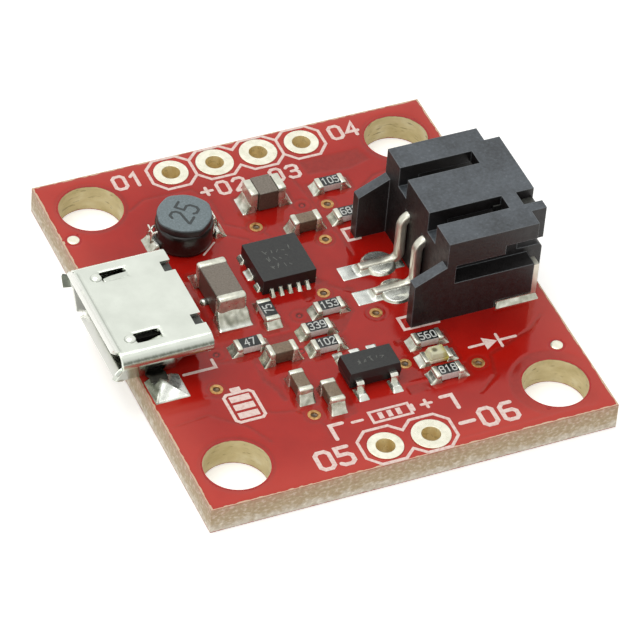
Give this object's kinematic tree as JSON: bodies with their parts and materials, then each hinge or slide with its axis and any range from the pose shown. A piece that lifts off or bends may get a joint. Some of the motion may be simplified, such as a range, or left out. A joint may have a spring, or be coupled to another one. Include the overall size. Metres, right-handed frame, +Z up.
{
  "type": "battery charger circuit board",
  "caption": "Small rectangular circuit board that charges a lithium cell: a flat charging socket on one edge, a keyed battery socket opposite, solder holes and corner mounting holes.",
  "frame": {"origin": "centre of the four mounting holes, on the underside of the board", "axes": "+X towards the battery socket's mouth, +Y towards the row of four solder holes, +Z up out of the component side"},
  "size_m": [0.0244, 0.0254, 0.0069],
  "materials": {
    "black_moulding": "moulded",
    "board_laminate": "solder mask over glass laminate",
    "ceramic_body": "fired ceramic",
    "chip_package": "moulded epoxy",
    "coil_coating": "resin coated winding",
    "contact_metal": "tinned",
    "ferrite": "ground ferrite",
    "lamp_base": "laminate",
    "lamp_lens": "clear resin",
    "plated_copper": "tinned",
    "resistor_body": "coated ceramic",
    "shell_steel": "bright plated sheet",
    "solder": "satin solder"
  },
  "bodies": {
    "root": {"battery_pin_1": "contact_metal", "battery_pin_2": "contact_metal", "battery_socket_housing": "black_moulding", "battery_solder": "solder", "battery_tab_1": "contact_metal", "battery_tab_2": "contact_metal", "capacitor_1_body": "ceramic_body", "capacitor_1_terminals": "solder", "capacitor_2_body": "ceramic_body", "capacitor_2_terminals": "solder", "capacitor_3_body": "ceramic_body", "capacitor_3_terminals": "solder", "capacitor_4_body": "ceramic_body", "capacitor_4_terminals": "solder", "charger_chip_body": "chip_package", "charger_chip_leads": "contact_metal", "chip_solder": "solder", "circuit_board": "board_laminate", "converter_chip_body": "chip_package", "converter_chip_terminals": "contact_metal", "header_hole_1": "plated_copper", "header_hole_2": "plated_copper", "header_hole_3": "plated_copper", "header_hole_4": "plated_copper", "inductor_core": "ferrite", "inductor_terminals": "contact_metal", "inductor_winding": "coil_coating", "input_capacitor_body": "ceramic_body", "input_capacitor_terminals": "solder", "output_capacitor_body": "ceramic_body", "output_capacitor_terminals": "solder", "resistor_1_body": "resistor_body", "resistor_1_terminals": "solder", "resistor_2_body": "resistor_body", "resistor_2_terminals": "solder", "resistor_3_body": "resistor_body", "resistor_3_terminals": "solder", "resistor_4_body": "resistor_body", "resistor_4_terminals": "solder", "resistor_5_body": "resistor_body", "resistor_5_terminals": "solder", "resistor_6_body": "resistor_body", "resistor_6_terminals": "solder", "resistor_7_body": "resistor_body", "resistor_7_terminals": "solder", "resistor_8_body": "resistor_body", "resistor_8_terminals": "solder", "resistor_9_body": "resistor_body", "resistor_9_terminals": "solder", "status_lamp_base": "lamp_base", "status_lamp_lens": "lamp_lens", "status_lamp_terminals": "solder", "supply_hole_1": "plated_copper", "supply_hole_2": "plated_copper", "usb_contacts": "contact_metal", "usb_insulator": "black_moulding", "usb_shell": "shell_steel", "usb_solder": "solder", "via_linings": "plated_copper"}
  },
  "joints": []
}
